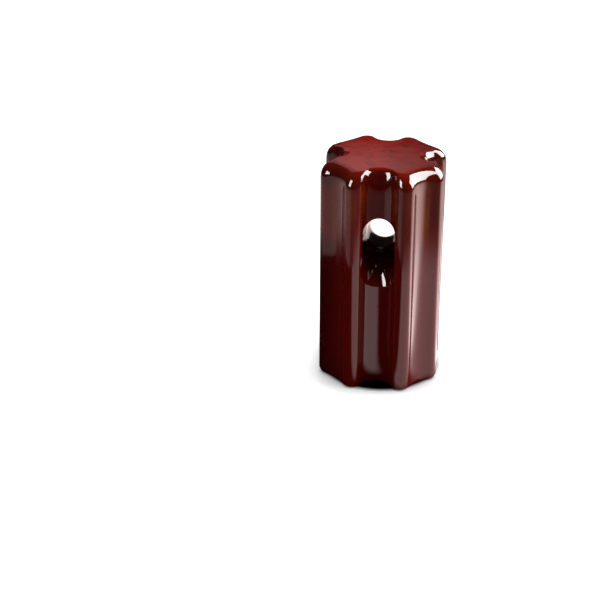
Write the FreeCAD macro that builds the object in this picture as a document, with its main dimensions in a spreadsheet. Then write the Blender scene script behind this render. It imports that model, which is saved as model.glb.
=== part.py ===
import FreeCAD, Part
import math
import os
import Sketcher

# Porcelain strain insulator: one solid, fluted porcelain body with two wire
# eyes that cross at right angles, one nearer each end.
# Frame: origin at the middle of the flat base, +Z along the length. The upper
# eye runs along Y and the lower eye along X. All sizes are in millimetres.

doc = FreeCAD.newDocument("strain_insulator")

# Driving sizes

SIZES = {
    # length of the body and radius over the lobe tips
    "body_length": 157.0,
    "body_radius": 44.45,
    # eight lobes: tip rounding, and the angle from a wide groove to a lobe tip
    "lobe_radius": 6.3,
    "lobe_angle": 26.0,
    # depth of each kind of groove below the lobe tips
    "wide_groove_depth": 13.45,
    "narrow_groove_depth": 5.25,
    # soft top end: length over which the grooves run out, and how far the wide
    # ones lean in on it; then the height of the rounding and how far it draws
    # in the lobes; then the same two for the wide grooves
    "top_run_out": 20.0,
    "top_groove_lean": 4.0,
    "top_height": 10.5,
    "top_lobe_inset": 11.0,
    "top_lobe_radius": 4.6,
    "top_groove_height": 2.0,
    "top_groove_inset": 4.5,
    # the same for the crisper base end
    "base_run_out": 7.0,
    "base_groove_lean": 0.4,
    "base_height": 3.6,
    "base_lobe_inset": 3.8,
    "base_lobe_radius": 5.8,
    "base_groove_height": 3.6,
    "base_groove_inset": 2.6,
    # depth that is left of the narrow grooves at the end faces
    "end_notch_depth": 0.2,
    # wire eye: bore radius, and distance of its throat from the nearer end
    "eye_radius": 10.5,
    "eye_end_distance": 54.5,
    "throat_length": 10.0,
    # how far past the floor of the wide groove the bend of the saddle ends, and
    # the angle at which the roof of the eye rises towards its mouths
    "saddle_overrun": 1.8,
    "roof_slope": 20.6,
    # rounding of the rim at the eye mouths
    "mouth_edge_radius": 1.3,
}

sheet = doc.addObject("Spreadsheet::Sheet", "Sizes")
for row, (alias, value) in enumerate(SIZES.items(), start=1):
    sheet.set(f"A{row}", alias)
    sheet.set(f"B{row}", str(value))
    sheet.setAlias(f"B{row}", alias)
doc.recompute()


class Rule:
    """A length with its start value and the sheet expression that drives it."""

    def __init__(self, value, text):
        self.value = value
        self.text = text

    def __add__(self, other):
        return Rule(self.value + rule(other).value, f"({self.text} + {rule(other).text})")

    def __sub__(self, other):
        return Rule(self.value - rule(other).value, f"({self.text} - {rule(other).text})")

    def __mul__(self, other):
        return Rule(self.value * rule(other).value, f"({self.text} * {rule(other).text})")

    def __truediv__(self, other):
        return Rule(self.value / rule(other).value, f"({self.text} / {rule(other).text})")

    def __pow__(self, power):
        return Rule(self.value ** power, f"({self.text} ^ {power})")


def rule(item):
    """Return a named size, a number or a rule as a rule."""
    if isinstance(item, Rule):
        return item
    if isinstance(item, str):
        return Rule(SIZES[item], "Sizes." + item)
    return Rule(float(item), repr(float(item)))


def cos(angle):
    return Rule(math.cos(math.radians(rule(angle).value)), f"cos({rule(angle).text} * 1 deg)")


def sin(angle):
    return Rule(math.sin(math.radians(rule(angle).value)), f"sin({rule(angle).text} * 1 deg)")


def tan(angle):
    return sin(angle) / cos(angle)


# Sketch helpers

con = Sketcher.Constraint


def plane(body, role):
    """Return one of the body's own origin planes or axes."""
    for feature in body.Origin.OriginFeatures:
        if feature.Role == role:
            return feature
    raise RuntimeError("no origin feature " + role)


def sketch_on(body, name, role, offset=None):
    """Add a sketch on an origin plane, with an optional offset along its normal."""
    sketch = body.newObject("Sketcher::SketchObject", name)
    sketch.AttachmentSupport = [(plane(body, role), "")]
    sketch.MapMode = "FlatFace"
    sketch.Visibility = False
    if offset:
        sketch.setExpression("AttachmentOffset.Base.z", offset.text)
    return sketch


def bind(sketch, name, size, kind, *geometry):
    """Add a named driving constraint whose value follows a rule."""
    index = sketch.addConstraint(con(kind, *geometry, size.value))
    sketch.renameConstraint(index, name)
    sketch.setExpression("Constraints." + name, size.text)


def vec(x, y):
    return FreeCAD.Vector(x, y, 0)


def polar(radius, degrees):
    return vec(radius * math.cos(math.radians(degrees)), radius * math.sin(math.radians(degrees)))


def arc(centre, start, end):
    """Arc about centre that runs counter-clockwise from start to end."""
    circle = Part.Circle(centre, FreeCAD.Vector(0, 0, 1), (start - centre).Length)
    first = math.atan2(start.y - centre.y, start.x - centre.x)
    last = math.atan2(end.y - centre.y, end.x - centre.x)
    return Part.ArcOfCircle(circle, first, last)


# Star section of the body
#
# Eight lobe centres lie on one circle. Each groove between them is a single arc
# that touches both lobes beside it, so the outline is smooth all round.


def groove_radius(tip, lobe, floor, angle):
    """Radius of the arc with this floor that touches two lobes at this half angle."""
    centre = tip - lobe
    gap = floor - lobe
    return (centre * centre - gap * gap) / (rule(2) * (centre * cos(angle) - gap)) - floor


def flat_floor(tip, lobe):
    """Floor distance at which a narrow groove would vanish into a flat."""
    return (tip - lobe) * cos(rule(45) - "lobe_angle") + lobe


def star_section(body, name, height, tip, lobe, wide, narrow):
    """Sketch the star section at a height above the base."""
    sketch = sketch_on(body, name, "XY_Plane", height)
    reach = tip - lobe
    wide_arc = groove_radius(tip, lobe, wide, rule("lobe_angle"))
    narrow_arc = groove_radius(tip, lobe, narrow, rule(45) - "lobe_angle")

    angle = SIZES["lobe_angle"]
    lobes = []
    grooves = []
    for turn in range(0, 360, 90):
        lobes.append(polar(reach.value, turn + angle))
        grooves.append(polar(narrow.value + narrow_arc.value, turn + 45))
        lobes.append(polar(reach.value, turn + 90 - angle))
        grooves.append(polar(wide.value + wide_arc.value, turn + 90))
    first_touch = []
    last_touch = []
    for number, centre in enumerate(lobes):
        first_touch.append(centre + (grooves[number - 1] - centre).normalize() * lobe.value)
        last_touch.append(centre + (grooves[number] - centre).normalize() * lobe.value)

    tips = []
    floors = []
    count = len(lobes)
    for number in range(count):
        start, end = first_touch[number], last_touch[number]
        following = first_touch[(number + 1) % count]
        tips.append(sketch.addGeometry(arc(lobes[number], start, end)))
        floors.append(sketch.addGeometry(arc(grooves[number], following, end)))
    for number in range(count):
        sketch.addConstraint(con("Tangent", tips[number], 2, floors[number], 2))
        sketch.addConstraint(con("Tangent", floors[number], 1, tips[(number + 1) % count], 1))
    for number in range(1, count):
        sketch.addConstraint(con("Equal", tips[0], tips[number]))
    for number in (2, 4, 6):
        sketch.addConstraint(con("Equal", floors[0], floors[number]))
        sketch.addConstraint(con("Equal", floors[1], floors[number + 1]))

    # two lobes are placed, and the other six mirror them
    for first in (0, 1):
        sketch.addConstraint(con("Symmetric", tips[first], 3, tips[3 - first], 3, -2))
        sketch.addConstraint(con("Symmetric", tips[first], 3, tips[7 - first], 3, -1))
        sketch.addConstraint(con("Symmetric", tips[first], 3, tips[4 + first], 3, -1, 1))
    along = reach * cos("lobe_angle")
    across = reach * sin("lobe_angle")
    bind(sketch, "first_lobe_x", along, "DistanceX", -1, 1, tips[0], 3)
    bind(sketch, "first_lobe_y", across, "DistanceY", -1, 1, tips[0], 3)
    bind(sketch, "second_lobe_x", across, "DistanceX", -1, 1, tips[1], 3)
    bind(sketch, "second_lobe_y", along, "DistanceY", -1, 1, tips[1], 3)
    bind(sketch, "lobe_radius", lobe, "Radius", tips[0])
    bind(sketch, "narrow_radius", narrow_arc, "Radius", floors[0])
    bind(sketch, "wide_radius", wide_arc, "Radius", floors[1])
    doc.recompute()
    return sketch


body = doc.addObject("PartDesign::Body", "insulator_body")
body.Label = "insulator_body"
body.Placement = FreeCAD.Placement()

TIP = rule("body_radius")
LOBE = rule("lobe_radius")
WIDE = TIP - "wide_groove_depth"
NARROW = TIP - "narrow_groove_depth"

section = star_section(body, "star_section", rule("base_run_out"), TIP, LOBE, WIDE, NARROW)
prism = body.newObject("PartDesign::Pad", "fluted_prism")
prism.Profile = section
prism.setExpression("Length", (rule("body_length") - "top_run_out" - "base_run_out").text)
doc.recompute()

# Ends of the body
#
# Towards each end the narrow grooves run out and the wide ones lean in. Then the
# lobes are drawn in along a quarter of an ellipse, down to the flat end face. The
# wide grooves round over later and more sharply, so each one ends in an arch.

RUN_OUT_STEPS = {"top": (0.0, 0.5), "base": (0.0,)}
ROUNDING_ANGLES = {"top": (0, 18, 36, 54, 72, 90), "base": (0, 45, 90)}


def rounded_over(left, height):
    """Share of a quarter-round inset that is reached at this distance from the end."""
    reach = rule(1) - left / height
    reach = Rule(max(0.0, reach.value), f"max(0; {reach.text})")
    rest = rule(1) - reach ** 2
    return rule(1) - Rule(math.sqrt(rest.value), f"sqrt({rest.text})")


def end_sections(name, end):
    """Sketch the sections of one end, from the prism to the end face."""
    run_out = rule(end + "_run_out")
    height = rule(end + "_height")
    depth = flat_floor(TIP, LOBE) - NARROW
    steps = [(run_out - (run_out - height) * step, 0) for step in RUN_OUT_STEPS[end]]
    steps += [(height * (rule(1) - sin(angle)), angle) for angle in ROUNDING_ANGLES[end]]
    sections = []
    for number, (left, angle) in enumerate(steps):
        progress = rule(1) - left / run_out
        share = rule(1) - cos(angle)
        tip = TIP - rule(end + "_lobe_inset") * share
        lobe = LOBE - (LOBE - (end + "_lobe_radius")) * share
        lean = rule(end + "_groove_lean") * progress ** 2
        inset = rule(end + "_groove_inset") * rounded_over(left, rule(end + "_groove_height"))
        notch = depth - (depth - "end_notch_depth") * progress ** 3
        narrow = flat_floor(tip, lobe) - notch
        level = rule("body_length") - left if end == "top" else left
        sections.append(
            star_section(body, f"{name}_{number}", level, tip, lobe, WIDE - lean - inset, narrow)
        )
    return sections


def loft_end(name, end):
    """Add one end of the body as a loft through its sections."""
    sections = end_sections(name + "_section", end)
    loft = body.newObject("PartDesign::AdditiveLoft", name)
    loft.Profile = sections[0]
    loft.Sections = sections[1:]
    loft.Ruled = True
    doc.recompute()


loft_end("soft_top", "top")
loft_end("crisp_base", "base")

# Wire eyes
#
# The space of an eye has a slot section whose two round ends follow different
# lines. The lower line bends down over a saddle at both mouths, so a wire can
# lie round it and along the wide groove. The upper line slopes up and lifts the
# roof. In the middle both lines are one, and the throat is a true bore.

EYE = rule("eye_radius")
EYE_HEIGHT = rule("body_length") - "eye_end_distance"
THROAT_END = rule("throat_length") / 2
SADDLE = WIDE + "saddle_overrun" - THROAT_END
SADDLE_LINE = SADDLE + EYE


def throat_pad(space):
    """Add the round throat in the middle of the eye."""
    section = sketch_on(space, "throat_section", "XZ_Plane")
    middle = vec(0, EYE_HEIGHT.value)
    ring = section.addGeometry(Part.Circle(middle, FreeCAD.Vector(0, 0, 1), EYE.value))
    section.addConstraint(con("PointOnObject", ring, 3, -2))
    bind(section, "radius", EYE, "Radius", ring)
    bind(section, "height", EYE_HEIGHT, "DistanceY", -1, 1, ring, 3)
    doc.recompute()
    throat = space.newObject("PartDesign::Pad", "throat")
    throat.Profile = section
    throat.Midplane = True
    throat.setExpression("Length", "Sizes.throat_length")
    doc.recompute()


def half_disc(section, centre, upper):
    """Draw one round end of the slot section, with its centre on the middle line."""
    left = centre - vec(EYE.value, 0)
    right = centre + vec(EYE.value, 0)
    first, last = (right, left) if upper else (left, right)
    curve = section.addGeometry(arc(centre, first, last))
    flat = section.addGeometry(Part.LineSegment(last, first))
    section.addConstraint(con("Coincident", curve, 2, flat, 1))
    section.addConstraint(con("Coincident", flat, 2, curve, 1))
    section.addConstraint(con("PointOnObject", curve, 3, flat))
    section.addConstraint(con("Horizontal", flat))
    bind(section, "radius", EYE, "Radius", curve)
    return curve


def saddle_bend(space):
    """Turn the lower round end down about the middle of the saddle's bend."""
    section = sketch_on(space, "saddle_section", "XZ_Plane", THROAT_END)
    curve = half_disc(section, vec(0, EYE_HEIGHT.value), upper=False)
    section.addConstraint(con("PointOnObject", curve, 3, -2))
    bind(section, "height", EYE_HEIGHT, "DistanceY", -1, 1, curve, 3)
    pivot = EYE_HEIGHT - SADDLE_LINE
    axis_line = Part.LineSegment(vec(0, pivot.value), vec(EYE.value, pivot.value))
    axis = section.addGeometry(axis_line, True)
    section.addConstraint(con("Horizontal", axis))
    section.addConstraint(con("PointOnObject", axis, 1, -2))
    bind(section, "axis_length", EYE, "DistanceX", axis, 1, axis, 2)
    bind(section, "axis_height", pivot, "DistanceY", -1, 1, axis, 1)
    doc.recompute()
    bend = space.newObject("PartDesign::Revolution", "saddle_bend")
    bend.Profile = section
    bend.ReferenceAxis = (section, ["Axis0"])
    bend.Angle = 90
    doc.recompute()
    return bend


def sloped_roof(space):
    """Run the upper round end up the slope of the roof, from the throat outwards."""
    section = sketch_on(space, "roof_section", "XZ_Plane", THROAT_END)
    tilt = FreeCAD.Rotation(FreeCAD.Vector(-1, 0, 0), SIZES["roof_slope"])
    section.AttachmentOffset = FreeCAD.Placement(section.AttachmentOffset.Base, tilt)
    section.setExpression("AttachmentOffset.Base.y", EYE_HEIGHT.text)
    section.setExpression("AttachmentOffset.Rotation.Angle", "Sizes.roof_slope")
    curve = half_disc(section, vec(0, 0), upper=True)
    section.addConstraint(con("Coincident", curve, 3, -1, 1))
    doc.recompute()
    roof = space.newObject("PartDesign::Pad", "sloped_roof")
    roof.Profile = section
    roof.setExpression("Length", (SADDLE_LINE / cos("roof_slope")).text)
    doc.recompute()
    return roof


def side_walls(space):
    """Fill the slot section between its two lines, out to where the saddle bend ends."""
    mouth_end = THROAT_END + SADDLE_LINE
    roof_height = EYE_HEIGHT + SADDLE_LINE * tan("roof_slope")
    pivot = vec(-THROAT_END.value, EYE_HEIGHT.value - SADDLE_LINE.value)
    inner = vec(-THROAT_END.value, EYE_HEIGHT.value)
    low = vec(-mouth_end.value, pivot.y)
    high = vec(-mouth_end.value, roof_height.value)

    section = sketch_on(space, "side_section", "YZ_Plane")
    saddle = section.addGeometry(arc(pivot, inner, low))
    mouth = section.addGeometry(Part.LineSegment(low, high))
    roof = section.addGeometry(Part.LineSegment(high, inner))
    section.addConstraint(con("Coincident", saddle, 2, mouth, 1))
    section.addConstraint(con("Coincident", mouth, 2, roof, 1))
    section.addConstraint(con("Coincident", roof, 2, saddle, 1))
    section.addConstraint(con("Vertical", mouth))
    section.addConstraint(con("Vertical", saddle, 3, saddle, 1))
    section.addConstraint(con("Horizontal", saddle, 3, saddle, 2))
    bind(section, "saddle_line", SADDLE_LINE, "Radius", saddle)
    bind(section, "throat_end", THROAT_END, "DistanceX", saddle, 1, -1, 1)
    bind(section, "eye_height", EYE_HEIGHT, "DistanceY", -1, 1, saddle, 1)
    bind(section, "roof_height", roof_height, "DistanceY", -1, 1, roof, 1)
    doc.recompute()

    walls = space.newObject("PartDesign::Pad", "side_walls")
    walls.Profile = section
    walls.Midplane = True
    walls.setExpression("Length", (EYE * 2).text)
    doc.recompute()
    return walls


def eye_space(name):
    """Build the space of one wire eye as a body of its own."""
    space = doc.addObject("PartDesign::Body", name)
    throat_pad(space)
    one_mouth = [saddle_bend(space), sloped_roof(space), side_walls(space)]
    both = space.newObject("PartDesign::PolarPattern", "both_mouths")
    both.Originals = one_mouth
    both.Axis = (plane(space, "Z_Axis"), [""])
    both.Angle = 360
    both.Occurrences = 2
    space.Tip = both
    doc.recompute()
    return space


# The lower eye is the upper one turned over end for end and a quarter round.

upper_space = eye_space("upper_eye_space")
lower_space = eye_space("lower_eye_space")
lower_space.Placement.Rotation = FreeCAD.Rotation(FreeCAD.Vector(1, 1, 0), 180)
lower_space.setExpression("Placement.Base.z", "Sizes.body_length")
doc.recompute()

eyes = body.newObject("PartDesign::Boolean", "wire_eyes")
eyes.Type = "Cut"
eyes.addObjects([upper_space, lower_space])
body.Tip = eyes
doc.recompute()

# Eye rims


def mouth_edges(shape):
    """Names of the edges where the eyes open into the wide grooves."""
    tolerance = 1e-3
    lowest = SIZES["base_run_out"] + tolerance
    highest = SIZES["body_length"] - SIZES["top_run_out"] - tolerance
    names = []
    for number, edge in enumerate(shape.Edges, start=1):
        box = edge.BoundBox
        along_x = (box.XMin, box.XMax)
        along_y = (box.YMin, box.YMax)
        for side, out in ((along_x, along_y), (along_y, along_x)):
            within = max(abs(value) for value in side) < EYE.value + tolerance
            outside = min(abs(value) for value in out) > WIDE.value - tolerance
            if within and outside and box.ZMin > lowest and box.ZMax < highest:
                names.append(f"Edge{number}")
    return names


rims = body.newObject("PartDesign::Fillet", "eye_rims")
rims.Base = (eyes, mouth_edges(eyes.Shape))
rims.setExpression("Radius", "Sizes.mouth_edge_radius")
body.Tip = rims
doc.recompute()

# Checks and export

for obj in doc.Objects:
    if "Invalid" in obj.State or "Error" in obj.State:
        raise RuntimeError(obj.Name + " did not build")
shape = body.Shape
if shape.isNull() or not shape.isValid() or len(shape.Solids) != 1:
    raise RuntimeError("the body is not one valid solid")

os.makedirs("parts", exist_ok=True)
shape.exportStep(f"parts/{body.Label}.step")
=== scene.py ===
import math
from typing import NamedTuple

import bpy
import numpy as np
from bpy.props import FloatProperty, FloatVectorProperty, IntProperty, PointerProperty
from bpy.types import Operator, Panel, PropertyGroup
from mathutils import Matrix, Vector


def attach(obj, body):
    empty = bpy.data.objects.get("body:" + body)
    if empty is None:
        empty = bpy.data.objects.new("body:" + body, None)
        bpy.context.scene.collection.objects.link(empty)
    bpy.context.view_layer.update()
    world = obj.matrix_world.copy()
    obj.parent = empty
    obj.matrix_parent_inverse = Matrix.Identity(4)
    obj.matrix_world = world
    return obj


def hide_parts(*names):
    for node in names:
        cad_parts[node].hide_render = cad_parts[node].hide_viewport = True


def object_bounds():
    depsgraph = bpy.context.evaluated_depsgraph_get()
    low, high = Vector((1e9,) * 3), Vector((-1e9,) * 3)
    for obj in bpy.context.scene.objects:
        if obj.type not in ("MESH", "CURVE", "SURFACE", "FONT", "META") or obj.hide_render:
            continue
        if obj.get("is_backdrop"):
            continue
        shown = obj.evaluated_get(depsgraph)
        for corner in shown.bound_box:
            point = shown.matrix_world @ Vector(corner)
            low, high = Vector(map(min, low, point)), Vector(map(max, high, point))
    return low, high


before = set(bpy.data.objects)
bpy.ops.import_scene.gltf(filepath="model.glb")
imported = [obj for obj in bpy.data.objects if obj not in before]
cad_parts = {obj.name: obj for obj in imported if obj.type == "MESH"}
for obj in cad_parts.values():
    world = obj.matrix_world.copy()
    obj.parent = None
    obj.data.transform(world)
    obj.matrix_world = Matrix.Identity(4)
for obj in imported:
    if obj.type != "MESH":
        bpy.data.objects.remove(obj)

bl_info = {
    "name": "Glazed strain insulator",
    "version": (1, 0, 0),
    "blender": (4, 5, 0),
    "location": "View3D > Sidebar > Insulator",
    "description": "Dresses a fluted porcelain strain insulator in brown glaze and sets its studio",
    "category": "Object",
}

CAD_LOW, CAD_HIGH = (Vector(corner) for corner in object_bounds())
BODY_HEIGHT = CAD_HIGH.z

# radius over the tips of the lobes, and that of the floor of the wide grooves
BODY_RADIUS = 0.04445
GROOVE_FLOOR = 0.031

# heights between which the fluted wall runs straight
WALL_FOOT = 0.007
WALL_TOP = 0.137


class GlazeSettings(PropertyGroup):
    """Colours and surface of the brown glaze."""

    full_colour: FloatVectorProperty(
        name="Full glaze",
        description="Colour of the glaze at its usual thickness",
        subtype="COLOR", size=3, min=0.0, max=1.0, default=(0.155, 0.0040, 0.0020),
    )
    # painted light: the upper part and the top take this lighter colour, as light falls there
    painted_light_colour: FloatVectorProperty(
        name="Upper glaze",
        description="Colour of the lighter glaze on the upper part and the top",
        subtype="COLOR", size=3, min=0.0, max=1.0, default=(0.215, 0.0060, 0.0030),
    )
    # painted shade: colour of the shade painted low on the left, high at the right, on the crown
    # and inside the eyes; the random streaks on the top take it too
    shade_and_streak_colour: FloatVectorProperty(
        name="Settled glaze",
        description="Colour of the dark glaze low on the left and inside the eyes",
        subtype="COLOR", size=3, min=0.0, max=1.0, default=(0.038, 0.0004, 0.0004),
    )
    pooled_colour: FloatVectorProperty(
        name="Pooled glaze",
        description="Colour where the glaze has run together in the grooves",
        subtype="COLOR", size=3, min=0.0, max=1.0, default=(0.120, 0.0020, 0.0015),
    )
    thin_colour: FloatVectorProperty(
        name="Thin glaze",
        description="Colour where the glaze has drawn back from ridges and rims",
        subtype="COLOR", size=3, min=0.0, max=1.0, default=(0.30, 0.070, 0.012),
    )
    wave_height: FloatProperty(
        name="Wave height",
        description="Height of the slow waves in the glaze",
        subtype="DISTANCE", unit="LENGTH", min=0.0, max=0.001, default=0.00022,
    )
    wave_length: FloatProperty(
        name="Wave length",
        description="Distance from one slow wave in the glaze to the next",
        subtype="DISTANCE", unit="LENGTH", min=0.001, max=0.1, default=0.018,
    )
    pit_depth: FloatProperty(
        name="Pit depth",
        description="Depth of the pinholes in the glaze",
        subtype="DISTANCE", unit="LENGTH", min=0.0, max=0.001, default=0.00008,
    )


class BlisterSettings(PropertyGroup):
    """Small blisters in the glaze."""

    density: FloatProperty(
        name="Density",
        description="Number of blisters on a square metre of glaze",
        min=0.0, max=50000.0, default=12000.0,
    )
    smallest: FloatProperty(
        name="Smallest",
        description="Radius of the smallest blister",
        subtype="DISTANCE", unit="LENGTH", min=0.00005, max=0.001, default=0.00018,
    )
    largest: FloatProperty(
        name="Largest",
        description="Radius of the largest blister",
        subtype="DISTANCE", unit="LENGTH", min=0.00005, max=0.002, default=0.00070,
    )
    seed: IntProperty(
        name="Seed",
        description="Picks another scatter of blisters",
        min=0, max=1000, default=7,
    )


class StudioSettings(PropertyGroup):
    """Floor, lamps and camera of the studio."""

    floor_colour: FloatVectorProperty(
        name="Floor",
        description="Colour of the floor",
        subtype="COLOR", size=3, min=0.0, max=1.0, default=(0.50, 0.50, 0.50),
    )
    floor_glow: FloatProperty(
        name="Floor glow",
        description="Extra white that the floor shows to the eye, where 1 is white by itself",
        min=0.0, max=1.0, default=0.88,
    )
    floor_sheen: FloatProperty(
        name="Floor sheen",
        description="Extra white that the floor shows in reflections",
        min=0.0, max=2.0, default=0.45,
    )
    room_level: FloatProperty(
        name="Room level",
        description="Brightness of the room around the table",
        min=0.0, max=1.0, default=0.10,
    )
    room_sheen: FloatProperty(
        name="Room sheen",
        description="Brightness of the room in reflections",
        min=0.0, max=1.0, default=0.02,
    )
    top_level: FloatProperty(
        name="Top light level",
        description="Brightness of the large soft light overhead",
        min=0.0, max=20.0, default=3.0,
    )
    key_level: FloatProperty(
        name="Key light level",
        description="Brightness of the softbox at the right",
        min=0.0, max=20.0, default=2.6,
    )
    key_sheen: FloatProperty(
        name="Key light sheen",
        description="Brightness of the softboxes in reflections",
        min=0.0, max=40.0, default=16.0,
    )
    lens: FloatProperty(
        name="Lens",
        description="Focal length of the camera",
        subtype="DISTANCE_CAMERA", unit="CAMERA", min=10.0, max=300.0, default=92.055,
    )


# Node helpers


class Fade(NamedTuple):
    """Smooth change of a share, from start at low to end at high."""

    low: float
    high: float
    start: float = 0.0
    end: float = 1.0


def put(tree, kind, **settings):
    """Add a node and set its properties."""
    node = tree.nodes.new(kind)
    for name, value in settings.items():
        setattr(node, name, value)
    return node


def feed(tree, socket, source):
    """Link a socket to a source, or write a plain value in it."""
    if isinstance(source, bpy.types.NodeSocket):
        tree.links.new(source, socket)
    else:
        socket.default_value = source


def maths(tree, operation, first, second=0.0, third=0.0):
    """Work out one operation on up to three values."""
    node = put(tree, "ShaderNodeMath", operation=operation)
    for socket, source in zip(node.inputs, (first, second, third)):
        feed(tree, socket, source)
    return node.outputs[0]


def product(tree, *shares):
    """Multiply shares."""
    result = shares[0]
    for share in shares[1:]:
        result = maths(tree, "MULTIPLY", result, share)
    return result


def largest(tree, *shares):
    """Take the largest of some shares."""
    result = shares[0]
    for share in shares[1:]:
        result = maths(tree, "MAXIMUM", result, share)
    return result


def without(tree, share, other):
    """Keep a share only where the other one isn't."""
    return maths(tree, "MULTIPLY", share, maths(tree, "SUBTRACT", 1.0, other))


def faded(tree, value, fade):
    """Follow a value through a fade."""
    node = put(tree, "ShaderNodeMapRange", interpolation_type="SMOOTHSTEP")
    feed(tree, node.inputs["Value"], value)
    for name, number in zip(("From Min", "From Max", "To Min", "To Max"), fade):
        feed(tree, node.inputs[name], number)
    return node.outputs["Result"]


def blend(tree, share, first, second):
    """Mix two colours."""
    node = put(tree, "ShaderNodeMix", data_type="RGBA")
    feed(tree, node.inputs["Factor"], share)
    for socket, source in ((node.inputs[6], first), (node.inputs[7], second)):
        if isinstance(source, bpy.types.NodeSocket):
            tree.links.new(source, socket)
        else:
            socket.default_value = (*source, 1.0)
    return node.outputs[2]


def noise(tree, place, scale, detail, roughness=0.5):
    """Cloudy pattern with a number of waves on a metre."""
    node = put(tree, "ShaderNodeTexNoise")
    tree.links.new(place, node.inputs["Vector"])
    node.inputs["Scale"].default_value = scale
    node.inputs["Detail"].default_value = detail
    node.inputs["Roughness"].default_value = roughness
    return node.outputs["Fac"]


def stretched(tree, place, stretch):
    """Coordinates on which a pattern is drawn out along the body."""
    node = put(tree, "ShaderNodeMapping", vector_type="POINT")
    tree.links.new(place, node.inputs["Vector"])
    node.inputs["Scale"].default_value = (1.0, 1.0, 1.0 / stretch)
    return node.outputs["Vector"]


def raised(tree, height, distance, below=None):
    """Bump a surface, over the bumps below where there are any."""
    bump = put(tree, "ShaderNodeBump")
    bump.inputs["Strength"].default_value = 1.0
    bump.inputs["Distance"].default_value = distance
    tree.links.new(height, bump.inputs["Height"])
    if below is not None:
        tree.links.new(below, bump.inputs["Normal"])
    return bump.outputs[0]


def split_place(tree, place):
    """Split a place into its X, Y and Z."""
    node = put(tree, "ShaderNodeSeparateXYZ")
    tree.links.new(place, node.inputs[0])
    return node.outputs


def distance_from_axis(tree, across, along):
    """Distance from the body's axis."""
    square = maths(tree, "MULTIPLY", across, across)
    return maths(tree, "SQRT", maths(tree, "MULTIPLY_ADD", along, along, third=square))


def object_place(tree):
    """Place in the piece's own coordinates."""
    return put(tree, "ShaderNodeTexCoord").outputs["Object"]


def new_material(name):
    """Make an empty material and return it with its tree and its surface socket."""
    material = bpy.data.materials.new(name)
    material.use_nodes = True
    material.node_tree.nodes.clear()
    output = put(material.node_tree, "ShaderNodeOutputMaterial")
    return material, material.node_tree, output.inputs["Surface"]


def plain_mesh(name, places, sides):
    """Make a mesh from its points and faces."""
    mesh = bpy.data.meshes.new(name)
    mesh.from_pydata(places, [], sides)
    return mesh


def add_object(context, name, data):
    """Add an object to the scene."""
    thing = bpy.data.objects.new(name, data)
    context.scene.collection.objects.link(thing)
    return thing


# Brown glaze

GLAZE_IOR = 1.55
GLOSS = Fade(0.3, 0.8, 0.03, 0.07)

# Patterns of the glaze: waves on a metre, and how far the slow ones are drawn out.
# The borders of the zones wander with the patches, those at the sides less so.
PATCH_SCALE = 70.0
PATCH_STRETCH = 4.0
BORDER_WANDER = 0.0045
SIDE_WANDER = 0.3
WAVE_STRETCH = 2.5
RIPPLE_SCALE = 420.0
RIPPLE_HEIGHT = 0.000006
PIT_SCALE = 260.0
PIT_SIZE = Fade(0.86, 1.0, 0.0, 0.22)
PIT_EDGE = Fade(-0.04, 0.03)
STREAK_SCALE = 130.0
STREAKS = Fade(0.50, 0.66, 0.0, 0.45)
MOTTLE_SCALE = 190.0
MOTTLE = Fade(0.45, 0.8, 0.0, 0.5)

# Zones of the glaze, by radius, height or side.
# The crown's rounding and the flat top:
CROWN = Fade(BODY_HEIGHT - 0.0130, BODY_HEIGHT - 0.0080)
TOP_FACE = Fade(BODY_HEIGHT - 0.0012, BODY_HEIGHT - 0.0001)
# thin glaze on the tips and flanks of the lobes, high up and below the crown, in the
# narrow grooves, and a trace on the crown:
THIN_TIPS = Fade(BODY_RADIUS - 0.0022, BODY_RADIUS + 0.0008, 0.0, 0.45)
THIN_FLANKS_START = Fade(0.0335, 0.0365, 0.0, 0.45)
THIN_FLANKS_END = Fade(0.0385, 0.0415, 1.0, 0.0)
THIN_RIDGE_HEIGHT = Fade(0.116, 0.138)
NARROW_GROOVE_START = Fade(0.0384, 0.0390, 0.0, 0.6)
NARROW_GROOVE_END = Fade(0.0398, 0.0408, 1.0, 0.0)
NARROW_GROOVE_HEIGHT = Fade(0.092, 0.125)
THIN_UPPER_END = Fade(0.142, 0.150, 1.0, 0.12)
THIN_CROWN_SHARE = 0.08
THIN_PATCHES = Fade(0.25, 0.7, 0.35, 1.0)
# pooled glaze in the wide grooves:
POOLED = Fade(GROOVE_FLOOR + 0.001, GROOVE_FLOOR + 0.008, 1.0, 0.0)
# painted light: the glaze is painted lighter on the upper part and the top, less so at the right:
PAINTED_LIGHT_HEIGHT = Fade(0.075, 0.125)
PAINTED_LIGHT_SIDE = Fade(-0.008, 0.018, 1.0, 0.0)
# painted shade: darker glaze painted at the left, apart from one height, high at the right, and on
# the crown:
DARK_LEFT = Fade(-0.044, -0.020, 1.0, 0.0)
DARK_LEFT_BREAK = 0.122
DARK_LEFT_BREAK_REACH = Fade(0.010, 0.026)
DARK_RIGHT = Fade(0.020, 0.034, 0.0, 0.5)
DARK_RIGHT_HEIGHT = Fade(0.100, 0.128)
DARK_CROWN = Fade(-0.030, 0.020, 0.65, 0.10)
# painted shade inside the eyes:
EYE_RADIUS = Fade(GROOVE_FLOOR - 0.005, GROOVE_FLOOR, 1.0, 0.0)
EYE_HEIGHT = Fade(WALL_TOP - 0.002, WALL_TOP, 1.0, 0.0)
# painted shade down the left flank of the front groove:
FLANK_SHADE_MIDDLE = -0.0145
FLANK_SHADE_REACH = Fade(0.0025, 0.0055, 0.8, 0.0)
FLANK_SHADE_FRONT = Fade(-0.030, -0.020, 1.0, 0.0)
FLANK_SHADE_RADIUS = Fade(0.0375, 0.0400, 1.0, 0.0)
FLANK_SHADE_HEIGHT = Fade(0.126, 0.136, 1.0, 0.0)


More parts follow.
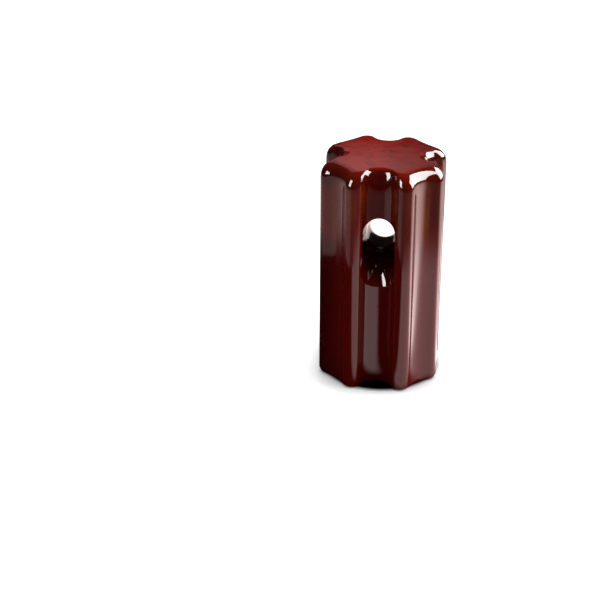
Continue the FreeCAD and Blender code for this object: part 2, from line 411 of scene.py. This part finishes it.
class Spot:
    """Where a point of the glaze lies, as sockets, plainly and with wandering borders."""

    def __init__(self, tree, place):
        self.across, self.along, self.height = split_place(tree, place)
        self.radius = distance_from_axis(tree, self.across, self.along)
        self.patches = noise(tree, stretched(tree, place, PATCH_STRETCH), PATCH_SCALE, detail=3.0)
        offset = maths(tree, "SUBTRACT", self.patches, 0.5)
        wander = maths(tree, "MULTIPLY", offset, BORDER_WANDER)
        self.rough_radius = maths(tree, "ADD", self.radius, wander)
        self.rough_height = maths(tree, "ADD", self.height, wander)
        self.rough_side = maths(tree, "MULTIPLY_ADD", wander, SIDE_WANDER, third=self.across)


def thin_share(tree, spot, crown):
    """Thin glaze on ridges, in the narrow grooves and on the crown."""
    tips = faded(tree, spot.rough_radius, THIN_TIPS)
    flanks = product(
        tree,
        faded(tree, spot.rough_radius, THIN_FLANKS_START),
        faded(tree, spot.rough_radius, THIN_FLANKS_END),
    )
    ridges = product(
        tree,
        largest(tree, tips, flanks),
        faded(tree, spot.height, THIN_RIDGE_HEIGHT),
    )
    narrow_grooves = product(
        tree,
        faded(tree, spot.radius, NARROW_GROOVE_START),
        faded(tree, spot.radius, NARROW_GROOVE_END),
        faded(tree, spot.height, NARROW_GROOVE_HEIGHT),
    )
    wall = product(
        tree,
        largest(tree, ridges, narrow_grooves),
        faded(tree, spot.rough_height, THIN_UPPER_END),
    )
    thin = largest(tree, wall, product(tree, crown, THIN_CROWN_SHARE))
    return product(tree, thin, faded(tree, spot.patches, THIN_PATCHES))


def painted_shade_share(tree, spot, crown):
    """Painted shade: darker at the left, high at the right, on the crown and inside the eyes."""
    off_break = maths(tree, "ABSOLUTE", maths(tree, "SUBTRACT", spot.height, DARK_LEFT_BREAK))
    left = product(
        tree,
        faded(tree, spot.rough_side, DARK_LEFT),
        faded(tree, off_break, DARK_LEFT_BREAK_REACH),
    )
    right = product(
        tree,
        faded(tree, spot.rough_side, DARK_RIGHT),
        faded(tree, spot.height, DARK_RIGHT_HEIGHT),
    )
    on_crown = product(tree, crown, faded(tree, spot.rough_side, DARK_CROWN))
    eyes = product(
        tree,
        faded(tree, spot.radius, EYE_RADIUS),
        faded(tree, spot.height, EYE_HEIGHT),
    )
    return largest(tree, left, right, on_crown, eyes)


def flank_shade_share(tree, spot):
    """Painted shade down the left flank of the front groove."""
    beside = maths(tree, "ABSOLUTE", maths(tree, "SUBTRACT", spot.across, FLANK_SHADE_MIDDLE))
    return product(
        tree,
        faded(tree, beside, FLANK_SHADE_REACH),
        faded(tree, spot.along, FLANK_SHADE_FRONT),
        faded(tree, spot.radius, FLANK_SHADE_RADIUS),
        faded(tree, spot.height, FLANK_SHADE_HEIGHT),
    )


def glaze_relief(tree, place, settings):
    """Bump of the glaze: slow waves, fine ripples and pinholes."""
    slow = noise(tree, stretched(tree, place, WAVE_STRETCH), 1.0 / settings.wave_length, detail=1.0)
    waves = raised(tree, slow, settings.wave_height)
    ripples = raised(tree, noise(tree, place, RIPPLE_SCALE, detail=2.0), RIPPLE_HEIGHT, waves)

    cells = put(tree, "ShaderNodeTexVoronoi", feature="F1")
    tree.links.new(place, cells.inputs["Vector"])
    cells.inputs["Scale"].default_value = PIT_SCALE
    size = faded(tree, cells.outputs["Color"], PIT_SIZE)
    pits = faded(tree, maths(tree, "SUBTRACT", cells.outputs["Distance"], size), PIT_EDGE)
    return raised(tree, pits, settings.pit_depth, ripples)


def brown_glaze(settings):
    """Thick glossy oxblood glaze, darker where it pools and more orange where it is thin, with
    painted light above and painted shade at the sides, on the crown, in the eyes and down the front
    groove.
    """
    material, tree, surface = new_material("brown_glaze")
    place = object_place(tree)
    spot = Spot(tree, place)
    top = faded(tree, spot.height, TOP_FACE)
    crown = without(tree, faded(tree, spot.rough_height, CROWN), top)
    # painted light: the upper part and the top are painted lighter, less so at the right
    light = product(
        tree,
        faded(tree, spot.height, PAINTED_LIGHT_HEIGHT),
        faded(tree, spot.across, PAINTED_LIGHT_SIDE),
    )
    pooled = without(tree, faded(tree, spot.rough_radius, POOLED), top)
    # painted shade down the left flank of the front groove, where no thin glaze shows either
    run = flank_shade_share(tree, spot)
    # painted shade at the sides, on the crown, inside the eyes and down the front groove
    dark = largest(tree, painted_shade_share(tree, spot, crown), run)
    thin = without(tree, thin_share(tree, spot, crown), run)

    colour = blend(tree, light, settings.full_colour, settings.painted_light_colour)
    colour = blend(tree, pooled, colour, settings.pooled_colour)
    colour = blend(tree, dark, colour, settings.shade_and_streak_colour)
    colour = blend(tree, thin, colour, settings.thin_colour)
    streaks = noise(tree, place, STREAK_SCALE, detail=3.0, roughness=0.7)
    streaks = product(tree, faded(tree, streaks, STREAKS), top)
    colour = blend(tree, streaks, colour, settings.shade_and_streak_colour)
    mottle = noise(tree, place, MOTTLE_SCALE, detail=4.0, roughness=0.6)
    colour = blend(tree, faded(tree, mottle, MOTTLE), colour, settings.pooled_colour)

    shader = put(tree, "ShaderNodeBsdfPrincipled")
    shader.inputs["IOR"].default_value = GLAZE_IOR
    tree.links.new(colour, shader.inputs["Base Color"])
    tree.links.new(faded(tree, mottle, GLOSS), shader.inputs["Roughness"])
    tree.links.new(glaze_relief(tree, place, settings), shader.inputs["Normal"])
    tree.links.new(shader.outputs[0], surface)
    return material


# Porcelain body

# how far a height may be off a border and still count as on it
HEIGHT_SLACK = 1e-5


def even_normals(places, triangles, normals):
    """Let the shading run smoothly over the strips that round both ends.

    The flat ends and the straight wall keep their own normals, and the strips
    take those at their borders. Between strips the normals are averaged.
    """
    corners = triangles.ravel()
    heights = places[:, 2][triangles]
    lowest = heights.min(axis=1)
    highest = heights.max(axis=1)
    in_wall = (lowest > WALL_FOOT - HEIGHT_SLACK) & (highest < WALL_TOP + HEIGHT_SLACK)
    in_end = (lowest > BODY_HEIGHT - HEIGHT_SLACK) | (highest < HEIGHT_SLACK)
    leads = np.repeat(in_wall | in_end, 3)
    result = normals.copy()
    order = np.argsort(corners, kind="stable")
    starts = np.flatnonzero(np.r_[True, np.diff(corners[order]) > 0])
    for members in np.split(order, starts[1:]):
        height = places[corners[members[0]], 2]
        if WALL_FOOT + HEIGHT_SLACK < height < WALL_TOP - HEIGHT_SLACK:
            continue
        strips = members[~leads[members]]
        if not len(strips):
            continue
        leading = members[leads[members]]
        if len(leading):
            chosen = normals[leading]
        else:
            chosen = np.unique(normals[strips].round(3), axis=0)
        mean = chosen.mean(axis=0)
        result[strips] = mean / np.linalg.norm(mean)
    return result


def rows_of(items, attribute, kind=float):
    """Read an attribute that holds three numbers as rows of an array."""
    values = np.empty(len(items) * 3, dtype=kind)
    items.foreach_get(attribute, values)
    return values.reshape(-1, 3)


def merged_copy(node, name):
    """Copy a CAD node's mesh with its doubles merged and its normals kept."""
    source = node.data
    places = rows_of(source.vertices, "co")
    triangles = rows_of(source.polygons, "vertices", int)
    normals = rows_of(source.corner_normals, "vector").reshape(-1, 3, 3)

    _, first, merged = np.unique(places.round(7), axis=0, return_index=True, return_inverse=True)
    places = places[first]
    triangles = merged.ravel()[triangles]
    sides = triangles[:, [0, 1, 2]] != triangles[:, [1, 2, 0]]
    whole = sides.all(axis=1)
    triangles = triangles[whole]
    normals = normals[whole].reshape(-1, 3)

    mesh = plain_mesh(name, places.tolist(), triangles.tolist())
    mesh.polygons.foreach_set("use_smooth", [True] * len(mesh.polygons))
    mesh.normals_split_custom_set(even_normals(places, triangles, normals).tolist())
    return mesh


class INSULATOR_OT_glazed_body(Operator):
    """Build the fluted porcelain body with its brown glaze"""

    bl_idname = "insulator.glazed_body"
    bl_label = "Glazed body"
    bl_options = {"REGISTER", "UNDO"}

    def execute(self, context):
        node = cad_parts["insulator_body"]
        mesh = merged_copy(node, "glazed_body")
        mesh.materials.append(brown_glaze(context.scene.insulator_glaze))
        body = add_object(context, "glazed_body", mesh)
        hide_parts("insulator_body")
        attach(body, "root")
        return {"FINISHED"}


# Blisters in the glaze

# radii between which blisters stand, clear of the eyes and of the tips of the lobes
BLISTERS_INNER = GROOVE_FLOOR - 0.0003
BLISTERS_OUTER = BODY_RADIUS - 0.001

# height of a blister as a share of its radius, and how strongly small ones prevail
BLISTER_FLATNESS = 0.35
BLISTER_BIAS = 3.0


def blister_tree():
    """Node group that strews flat blisters over the straight wall of the body."""
    tree = bpy.data.node_groups.new("glaze_blisters", "GeometryNodeTree")
    for name, kind in (
        ("Geometry", "NodeSocketGeometry"),
        ("Density", "NodeSocketFloat"),
        ("Smallest", "NodeSocketFloat"),
        ("Largest", "NodeSocketFloat"),
        ("Seed", "NodeSocketInt"),
        ("Material", "NodeSocketMaterial"),
    ):
        tree.interface.new_socket(name, in_out="INPUT", socket_type=kind)
    tree.interface.new_socket("Geometry", in_out="OUTPUT", socket_type="NodeSocketGeometry")
    given = put(tree, "NodeGroupInput").outputs

    place = put(tree, "GeometryNodeInputPosition").outputs[0]
    across, along, height = split_place(tree, place)
    radius = distance_from_axis(tree, across, along)
    on_wall = product(
        tree,
        maths(tree, "GREATER_THAN", height, WALL_FOOT),
        maths(tree, "LESS_THAN", height, WALL_TOP),
        maths(tree, "GREATER_THAN", radius, BLISTERS_INNER),
        maths(tree, "LESS_THAN", radius, BLISTERS_OUTER),
    )
    scatter = put(tree, "GeometryNodeDistributePointsOnFaces", distribute_method="RANDOM")
    for name, source in (
        ("Mesh", given["Geometry"]), ("Selection", on_wall),
        ("Density", given["Density"]), ("Seed", given["Seed"]),
    ):
        tree.links.new(source, scatter.inputs[name])

    chance = put(tree, "FunctionNodeRandomValue", data_type="FLOAT").outputs[1]
    chance = maths(tree, "POWER", chance, BLISTER_BIAS)
    size = put(tree, "ShaderNodeMapRange")
    for name, source in (
        ("Value", chance), ("To Min", given["Smallest"]), ("To Max", given["Largest"]),
    ):
        tree.links.new(source, size.inputs[name])

    ball = put(tree, "GeometryNodeMeshIcoSphere")
    ball.inputs["Radius"].default_value = 1.0
    ball.inputs["Subdivisions"].default_value = 2
    blister = put(tree, "GeometryNodeTransform")
    blister.inputs["Scale"].default_value = (1.0, 1.0, BLISTER_FLATNESS)
    tree.links.new(ball.outputs["Mesh"], blister.inputs["Geometry"])
    smooth = put(tree, "GeometryNodeSetShadeSmooth")
    tree.links.new(blister.outputs[0], smooth.inputs["Geometry"])
    stand = put(tree, "GeometryNodeInstanceOnPoints")
    for name, source in (
        ("Points", scatter.outputs["Points"]), ("Instance", smooth.outputs[0]),
        ("Rotation", scatter.outputs["Rotation"]), ("Scale", size.outputs["Result"]),
    ):
        tree.links.new(source, stand.inputs[name])

    real = put(tree, "GeometryNodeRealizeInstances")
    tree.links.new(stand.outputs[0], real.inputs[0])
    glazed = put(tree, "GeometryNodeSetMaterial")
    tree.links.new(real.outputs[0], glazed.inputs["Geometry"])
    tree.links.new(given["Material"], glazed.inputs["Material"])
    tree.links.new(glazed.outputs[0], put(tree, "NodeGroupOutput").inputs[0])
    return tree


def grown_mesh(context, name, ground, tree, given):
    """Run a node group on a mesh and return what grows on it as a plain mesh."""
    bed = add_object(context, name, ground)
    modifier = bed.modifiers.new(name, "NODES")
    modifier.node_group = tree
    for socket in tree.interface.items_tree:
        if socket.name in given:
            modifier[socket.identifier] = given[socket.name]
    context.view_layer.update()
    ready = bed.evaluated_get(context.evaluated_depsgraph_get())
    mesh = bpy.data.meshes.new_from_object(ready)
    bed.modifiers.remove(modifier)
    bpy.data.objects.remove(bed)
    mesh.name = name
    return mesh


class INSULATOR_OT_glaze_blisters(Operator):
    """Strew small blisters over the glazed wall"""

    bl_idname = "insulator.glaze_blisters"
    bl_label = "Glaze blisters"
    bl_options = {"REGISTER", "UNDO"}

    def execute(self, context):
        settings = context.scene.insulator_blisters
        ground = bpy.data.objects["glazed_body"].data
        given = {
            "Density": settings.density,
            "Smallest": settings.smallest,
            "Largest": settings.largest,
            "Seed": settings.seed,
            "Material": ground.materials[0],
        }
        mesh = grown_mesh(context, "glaze_blisters", ground, blister_tree(), given)
        blisters = add_object(context, "glaze_blisters", mesh)
        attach(blisters, "root")
        return {"FINISHED"}


# Studio

# Directions round the body are given in degrees from the camera, towards its right.
CAMERA_TURN = 7.26
CAMERA_TILT = 26.87
CAMERA_PLACE = (0.06429, -0.94659, 0.52849)
SENSOR_WIDTH = 36.0

FLOOR_REACH = 30.0
# painted shadow: the floor is painted black under the body, and its glow darkens with ambient
# occlusion in its corner with the body
SHADOW_UNDER_BODY = Fade(0.0375, BODY_RADIUS - 0.001)
CORNER_REACH = 0.02
CORNER_DEPTH = 1.5
CORNER_SAMPLES = 8

# Cards that only gloss shows, with their tint: painted reflections. The table's is a ring
# just over the floor, and its brightness goes by the direction round the body: first near
# the body, then farther out. CARD_FRONT is the direction in the middle of the stops.
CARD_COLOUR = (1.0, 0.80, 0.78, 1.0)
RING_INNER = 0.02
RING_OUTER = 20.0
RING_HEIGHT = 0.0005
RING_STEP = 5
CARD_FRONT = 92.0
NEAR_TABLE = (
    (-20.0, 0.01), (-6.0, 1.35), (30.0, 1.3), (58.0, 1.4), (68.0, 1.7), (78.0, 3.0), (87.0, 5.5),
    (98.0, 5.5), (111.0, 1.6), (116.0, 1.6), (130.0, 4.0), (150.0, 2.0), (190.0, 1.0),
    (235.0, 0.01),
)
FAR_TABLE = (
    (-42.0, 0.63), (-30.0, 0.20), (60.0, 0.22), (87.0, 3.5), (98.0, 3.5), (130.0, 1.2),
    (270.0, 0.63),
)
# radii where near turns to far, crisp at the left and soft at the right
FAR_CRISP = Fade(0.229, 0.241)
FAR_SOFT = Fade(0.20, 0.30)
SOFT_TURNS = (-12.0, 12.0)
# radii where the ring starts and where it fades
RING_START = Fade(0.040, 0.052)
RING_END = Fade(0.40, 1.30, 1.0, 0.02)

# the card behind the body, a painted reflection, with its fades to the right and upwards
BACK_DISTANCE = 0.20
BACK_WIDTH = 0.30
BACK_HEIGHTS = (0.20, 0.40)
BACK_ACROSS = Fade(-0.03, 0.03, 0.50, 0.26)
BACK_UP = Fade(0.215, 0.250)


class Box(NamedTuple):
    """Direction, distance and size of a softbox that faces the middle of the body."""

    azimuth: float
    elevation: float
    distance: float
    width: float
    height: float


TOP_LIGHT = Box(150.0, 75.0, 1.2, 1.4, 1.4)
KEY_LIGHT = Box(100.0, 30.0, 0.9, 1.1, 0.8)
KEY_SHEEN = Box(100.0, 30.0, 0.88, 1.1, 0.8)
LEFT_STRIP = Box(-58.0, 26.0, 0.9, 0.36, 0.64)


def direction(azimuth, elevation=0.0):
    """Direction from the body, with azimuth 0 towards the camera and 90 to its right."""
    turn = math.radians(azimuth - 90.0 + CAMERA_TURN)
    tilt = math.radians(elevation)
    level = Vector((math.cos(turn), math.sin(turn), 0.0)) * math.cos(tilt)
    return level + Vector((0.0, 0.0, math.sin(tilt)))


def floor_material(settings):
    """Plain pale floor that shows as white and keeps the shadow of what stands on it, with a
    painted shadow under the body and in its corner with it.
    """
    material, tree, surface = new_material("pale_floor")
    across, along, _ = split_place(tree, object_place(tree))
    # painted shadow: black under the body
    clear = faded(tree, distance_from_axis(tree, across, along), SHADOW_UNDER_BODY)
    colour = blend(tree, clear, (0.0, 0.0, 0.0), settings.floor_colour)
    paper = put(tree, "ShaderNodeBsdfDiffuse")
    tree.links.new(colour, paper.inputs["Color"])
    rays = put(tree, "ShaderNodeLightPath").outputs
    seen = product(tree, rays["Is Camera Ray"], settings.floor_glow)
    for kind in ("Is Glossy Ray", "Is Transmission Ray"):
        seen = maths(tree, "ADD", seen, product(tree, rays[kind], settings.floor_sheen))
    # painted contact shadow: the glow darkens with ambient occlusion
    corner = put(tree, "ShaderNodeAmbientOcclusion", samples=CORNER_SAMPLES)
    corner.inputs["Distance"].default_value = CORNER_REACH
    painted_contact_shadow = product(tree, maths(tree, "POWER", corner.outputs["AO"], CORNER_DEPTH), clear)
    glow = put(tree, "ShaderNodeEmission")
    tree.links.new(product(tree, seen, painted_contact_shadow), glow.inputs["Strength"])
    both = put(tree, "ShaderNodeAddShader")
    tree.links.new(paper.outputs[0], both.inputs[0])
    tree.links.new(glow.outputs[0], both.inputs[1])
    tree.links.new(both.outputs[0], surface)
    return material


def card_material(name, brightness):
    """Tinted card with the brightness that a function works out in its tree."""
    material, tree, surface = new_material(name)
    card = put(tree, "ShaderNodeEmission")
    card.inputs["Color"].default_value = CARD_COLOUR
    tree.links.new(brightness(tree), card.inputs["Strength"])
    tree.links.new(card.outputs[0], surface)
    return material


def level_round(tree, angle, stops):
    """Brightness that follows the angle smoothly from stop to stop."""
    level = stops[0][1]
    for (start, first), (end, last) in zip(stops, stops[1:]):
        turns = (math.radians(turn - CARD_FRONT) for turn in (start, end))
        level = maths(tree, "ADD", level, faded(tree, angle, Fade(*turns, 0.0, last - first)))
    return level


def painted_table_reflection(tree):
    """Painted reflection on the ring: dark at the left, bright where the softbox would mirror in
    the table.
    """
    turned = put(tree, "ShaderNodeMapping", vector_type="POINT")
    turned.inputs["Rotation"].default_value[2] = math.radians(90.0 - CARD_FRONT - CAMERA_TURN)
    tree.links.new(object_place(tree), turned.inputs["Vector"])
    across, along, _ = split_place(tree, turned.outputs["Vector"])
    angle = maths(tree, "ARCTAN2", along, across)
    radius = distance_from_axis(tree, across, along)
    soft_turns = Fade(*(math.radians(turn - CARD_FRONT) for turn in SOFT_TURNS))
    right = faded(tree, angle, soft_turns)
    crisp = without(tree, faded(tree, radius, FAR_CRISP), right)
    distant = maths(tree, "MULTIPLY_ADD", faded(tree, radius, FAR_SOFT), right, third=crisp)
    near = without(tree, level_round(tree, angle, NEAR_TABLE), distant)
    far = level_round(tree, angle, FAR_TABLE)
    level = maths(tree, "MULTIPLY_ADD", far, distant, third=near)
    return product(
        tree,
        level,
        faded(tree, radius, RING_END),
        faded(tree, radius, RING_START),
    )


def painted_back_reflection(tree):
    """Painted reflection: soft grey that the flat top mirrors."""
    across, _, height = split_place(tree, object_place(tree))
    return product(tree, faded(tree, across, BACK_ACROSS), faded(tree, height, BACK_UP))


def table_ring():
    """Flat ring round the body, just over the floor."""
    turns = [math.radians(turn) for turn in range(0, 360, RING_STEP)]
    places = [
        (reach * math.cos(turn), reach * math.sin(turn), RING_HEIGHT)
        for reach in (RING_INNER, RING_OUTER)
        for turn in turns
    ]
    count = len(turns)
    sides = [(i, (i + 1) % count, (i + 1) % count + count, i + count) for i in range(count)]
    return plain_mesh("table_card", places, sides)


def back_sheet():
    """Upright sheet behind the body."""
    middle = direction(180.0) * BACK_DISTANCE
    side = direction(90.0) * BACK_WIDTH / 2
    corners = (middle - side, middle + side)
    places = [(*corner.xy, height) for height in BACK_HEIGHTS for corner in corners]
    return plain_mesh("back_card", places, [(0, 1, 3, 2)])


def lay_floor(context, settings):
    """Lay the floor."""
    low, high = -FLOOR_REACH, FLOOR_REACH
    corners = [(low, low, 0.0), (high, low, 0.0), (high, high, 0.0), (low, high, 0.0)]
    floor = add_object(context, "floor", plain_mesh("floor", corners, [(0, 1, 2, 3)]))
    floor.data.materials.append(floor_material(settings))
    floor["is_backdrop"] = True


def gloss_card(context, mesh, brightness):
    """Add a card that only gloss shows."""
    card = add_object(context, mesh.name, mesh)
    card.data.materials.append(card_material(mesh.name, brightness))
    for kind in ("camera", "diffuse", "transmission", "volume_scatter", "shadow"):
        setattr(card, "visible_" + kind, False)
    card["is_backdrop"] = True


def softbox(context, name, box, level, shows):
    """Add a soft rectangular lamp that only shows in some kinds of light."""
    lamp = bpy.data.lights.new(name, "AREA")
    lamp.shape = "RECTANGLE"
    lamp.size = box.width
    lamp.size_y = box.height
    lamp.energy = level * math.pi * box.width * box.height
    lit = add_object(context, name, lamp)
    outward = direction(box.azimuth, box.elevation)
    lit.location = outward * box.distance + Vector((0.0, 0.0, BODY_HEIGHT / 2))
    lit.rotation_euler = outward.to_track_quat("Z", "Y").to_euler()
    for kind in ("camera", "diffuse", "glossy", "transmission", "volume_scatter"):
        setattr(lit, "visible_" + kind, kind == shows)


def room(settings):
    """Dim white room that shows darker still in reflections."""
    world = bpy.data.worlds.new("room")
    world.use_nodes = True
    tree = world.node_tree
    air = tree.nodes["Background"]
    air.inputs["Color"].default_value = (1.0, 1.0, 1.0, 1.0)
    mirrored = put(tree, "ShaderNodeLightPath").outputs["Is Glossy Ray"]
    drop = product(tree, mirrored, settings.room_level - settings.room_sheen)
    tree.links.new(maths(tree, "SUBTRACT", settings.room_level, drop), air.inputs["Strength"])
    return world


def place_camera(context, settings):
    """Put the camera where it sees the body from in front and above."""
    camera = add_object(context, "camera", bpy.data.cameras.new("camera"))
    camera.data.lens = settings.lens
    camera.data.sensor_width = SENSOR_WIDTH
    camera.location = CAMERA_PLACE
    camera.rotation_euler = direction(0.0, CAMERA_TILT).to_track_quat("Z", "Y").to_euler()
    context.scene.camera = camera


class INSULATOR_OT_studio(Operator):
    """Lay the floor, set the lamps and place the camera"""

    bl_idname = "insulator.studio"
    bl_label = "Studio"
    bl_options = {"REGISTER", "UNDO"}

    def execute(self, context):
        settings = context.scene.insulator_studio
        lay_floor(context, settings)
        gloss_card(context, table_ring(), painted_table_reflection)
        gloss_card(context, back_sheet(), painted_back_reflection)
        softbox(context, "top_light", TOP_LIGHT, settings.top_level, "diffuse")
        softbox(context, "key_light", KEY_LIGHT, settings.key_level, "diffuse")
        softbox(context, "key_sheen", KEY_SHEEN, settings.key_sheen, "glossy")
        softbox(context, "left_strip", LEFT_STRIP, settings.key_sheen, "glossy")
        context.scene.world = room(settings)
        context.scene.view_settings.view_transform = "Standard"
        place_camera(context, settings)
        return {"FINISHED"}


class INSULATOR_PT_panel(Panel):
    """Lists the steps and settings of the insulator"""

    bl_label = "Insulator"
    bl_idname = "INSULATOR_PT_panel"
    bl_space_type = "VIEW_3D"
    bl_region_type = "UI"
    bl_category = "Insulator"

    def draw(self, context):
        layout = self.layout
        groups = (
            (INSULATOR_OT_glazed_body, context.scene.insulator_glaze),
            (INSULATOR_OT_glaze_blisters, context.scene.insulator_blisters),
            (INSULATOR_OT_studio, context.scene.insulator_studio),
        )
        for step, settings in groups:
            box = layout.box()
            box.operator(step.bl_idname)
            for name in settings.__annotations__:
                box.prop(settings, name)


CLASSES = (
    GlazeSettings,
    BlisterSettings,
    StudioSettings,
    INSULATOR_OT_glazed_body,
    INSULATOR_OT_glaze_blisters,
    INSULATOR_OT_studio,
    INSULATOR_PT_panel,
)


def register():
    """Register the classes and their settings."""
    for item in CLASSES:
        bpy.utils.register_class(item)
    bpy.types.Scene.insulator_glaze = PointerProperty(type=GlazeSettings)
    bpy.types.Scene.insulator_blisters = PointerProperty(type=BlisterSettings)
    bpy.types.Scene.insulator_studio = PointerProperty(type=StudioSettings)


def unregister():
    """Remove the classes and their settings."""
    del bpy.types.Scene.insulator_studio
    del bpy.types.Scene.insulator_blisters
    del bpy.types.Scene.insulator_glaze
    for item in reversed(CLASSES):
        bpy.utils.unregister_class(item)


def main():
    """Build the pieces and the studio."""
    register()
    bpy.ops.insulator.glazed_body()
    bpy.ops.insulator.glaze_blisters()
    bpy.ops.insulator.studio()


if __name__ == "__main__":
    main()
